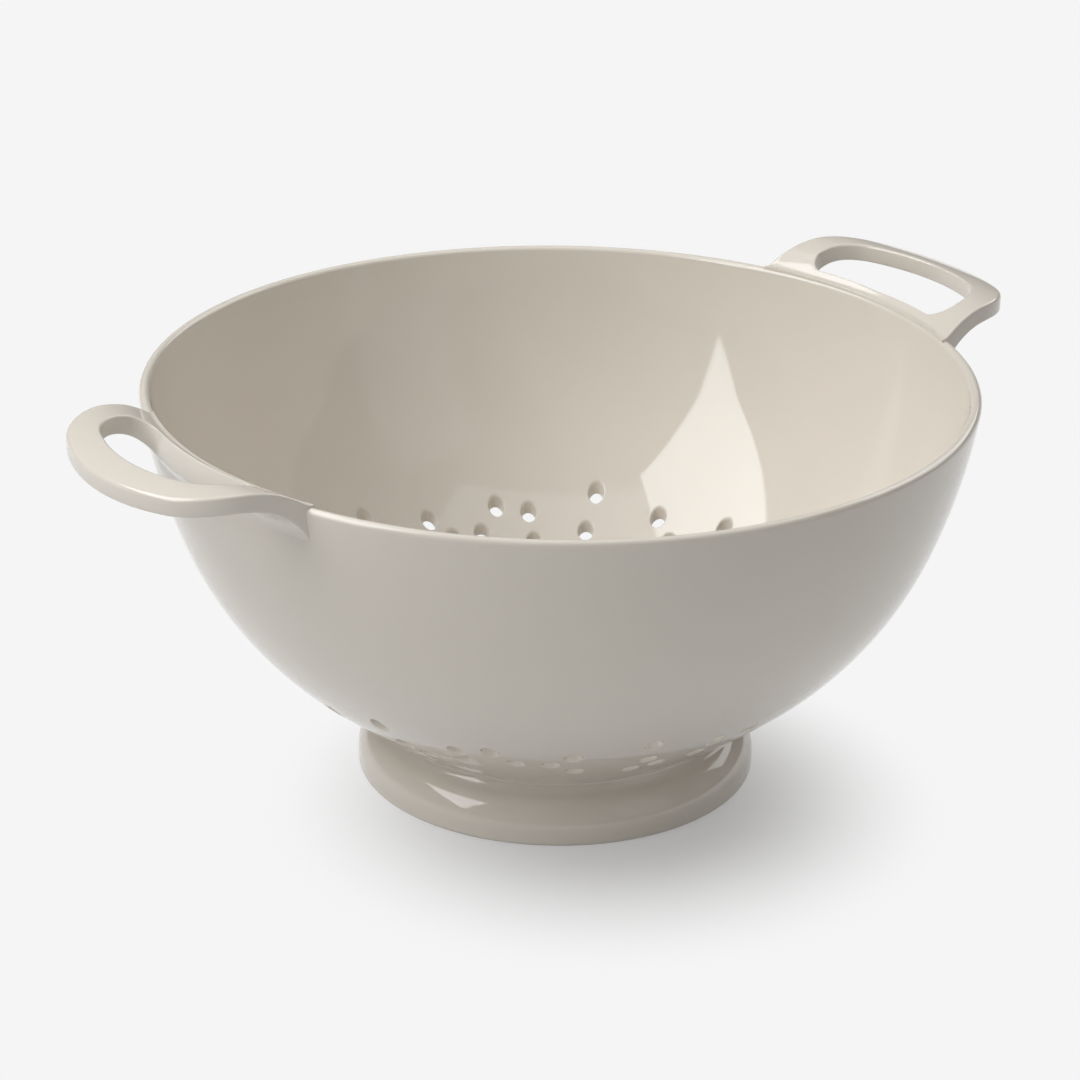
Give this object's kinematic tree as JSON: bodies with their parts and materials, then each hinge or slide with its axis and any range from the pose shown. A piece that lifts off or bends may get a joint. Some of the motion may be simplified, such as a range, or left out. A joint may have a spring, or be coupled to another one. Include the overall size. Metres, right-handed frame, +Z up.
{
  "type": "melamine colander",
  "caption": "Deep round colander with upright drain holes, a foot ring to stand on and two raised loop handles on its rim.",
  "frame": {"origin": "on the table, under the middle of the foot ring's bottom face", "axes": "+X from the left handle to the right handle, +Z up through the open top, +Y completes the right-handed frame"},
  "size_m": [0.315, 0.2504, 0.1334],
  "materials": {
    "melamine": "glossy warm pale grey melamine"
  },
  "bodies": {
    "root": {"bowl": "melamine", "foot_ring": "melamine", "left_handle": "melamine", "right_handle": "melamine"}
  },
  "joints": []
}
